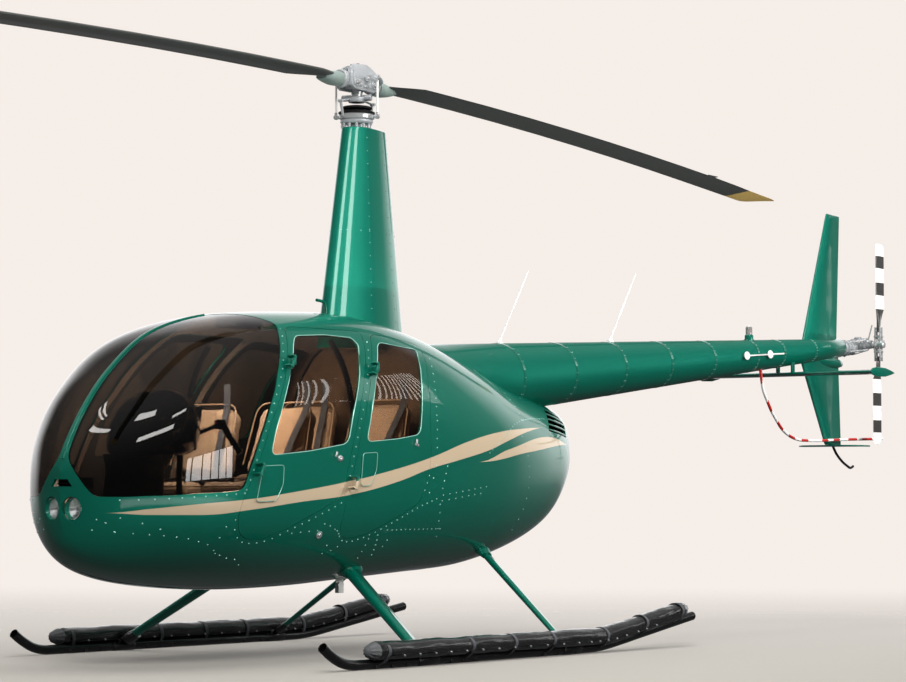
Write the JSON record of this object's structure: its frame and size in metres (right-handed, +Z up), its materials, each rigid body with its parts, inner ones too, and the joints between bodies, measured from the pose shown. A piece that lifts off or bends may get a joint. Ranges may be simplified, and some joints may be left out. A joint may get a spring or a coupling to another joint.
{
  "type": "light piston helicopter on skids",
  "caption": "Light cabin helicopter with a two-blade teetering rotor on a tall mast fairing, hinged cabin doors, tapered tail cone, side tail rotor and skids with stowed floats.",
  "frame": {"origin": "on the ground at the middle of the whole length and width", "axes": "+X forward to the nose, +Y to port, +Z up"},
  "size_m": [11.1448, 2.3492, 3.325],
  "materials": {
    "green_paint": "gloss metallic paint",
    "tinted_acrylic": "tinted, polished",
    "black_plastic": "fine grain",
    "grey_carpet": "short pile",
    "tan_leather": "soft, stitched",
    "machined_alloy": "machined",
    "blade_paint": "satin",
    "engine_casting": "as cast",
    "coated_fabric": "rubber coated, wrinkled",
    "lamp_glass": "clear",
    "red_glass": "translucent red",
    "white_paint": "satin",
    "black_paint": "satin"
  },
  "bodies": {
    "airframe": {"aft_cowl": "green_paint", "beacon": "red_glass", "cabin_floor": "grey_carpet", "cabin_frame": "green_paint", "cyclic_stick": "black_plastic", "engine_block": "engine_casting", "firewall": "machined_alloy", "float_bag_left": "coated_fabric", "float_bag_right": "coated_fabric", "front_leg_left": "green_paint", "front_leg_right": "green_paint", "front_seat_left": "tan_leather", "front_seat_right": "tan_leather", "horizontal_stabilizer": "green_paint", "instrument_console": "black_plastic", "landing_lamp_left": "lamp_glass", "landing_lamp_right": "lamp_glass", "lower_fin": "green_paint", "lower_fin_plate": "green_paint", "mast_fairing": "green_paint", "rear_leg_left": "green_paint", "rear_leg_right": "green_paint", "rear_seat_left": "tan_leather", "rear_seat_right": "tan_leather", "roof_panel": "green_paint", "skid_left": "black_paint", "skid_right": "black_paint", "swashplate_fixed": "machined_alloy", "tail_cone": "green_paint", "tail_gearbox": "machined_alloy", "tail_rotor_guard": "white_paint", "tail_skid": "black_paint", "upper_fin": "green_paint", "whip_aerial_front": "white_paint", "whip_aerial_rear": "white_paint", "windscreen_left": "tinted_acrylic", "windscreen_right": "tinted_acrylic"},
    "main_rotor": {"rotor_hub": "machined_alloy", "main_blade_fore": "blade_paint", "main_blade_aft": "blade_paint", "swashplate_turning": "machined_alloy"},
    "tail_rotor": {"tail_rotor_hub": "machined_alloy", "tail_blade_upper": "white_paint", "tail_blade_lower": "white_paint"},
    "front_door_left": {"front_door_left": "green_paint", "front_window_left": "tinted_acrylic"},
    "front_door_right": {"front_door_right": "green_paint", "front_window_right": "tinted_acrylic"},
    "rear_door_left": {"rear_door_left": "green_paint", "rear_window_left": "tinted_acrylic"},
    "rear_door_right": {"rear_door_right": "green_paint", "rear_window_right": "tinted_acrylic"}
  },
  "joints": [
    {"name": "main_rotor_spin", "type": "hinge", "parent": "airframe", "child": "main_rotor", "pos_m": [0.54772, 0, 3.215], "axis": [0, 0, 1], "continuous": true},
    {"name": "tail_rotor_spin", "type": "hinge", "parent": "airframe", "child": "tail_rotor", "pos_m": [-5.30486, 0.17, 2], "axis": [0, 1, 0], "continuous": true},
    {"name": "front_door_left_hinge", "type": "hinge", "parent": "airframe", "child": "front_door_left", "pos_m": [1.93564, 0.62849, 1.2845], "axis": [0.514, 0.1369, -0.8468], "range_deg": [0, 70]},
    {"name": "front_door_right_hinge", "type": "hinge", "parent": "airframe", "child": "front_door_right", "pos_m": [1.93564, -0.62849, 1.2845], "axis": [-0.514, 0.1369, 0.8468], "range_deg": [0, 70]},
    {"name": "rear_door_left_hinge", "type": "hinge", "parent": "airframe", "child": "rear_door_left", "pos_m": [1.23014, 0.64344, 1.2475], "axis": [0.3917, 0.1175, -0.9125], "range_deg": [0, 70]},
    {"name": "rear_door_right_hinge", "type": "hinge", "parent": "airframe", "child": "rear_door_right", "pos_m": [1.23014, -0.64344, 1.2475], "axis": [-0.3917, 0.1175, 0.9125], "range_deg": [0, 70]}
  ]
}
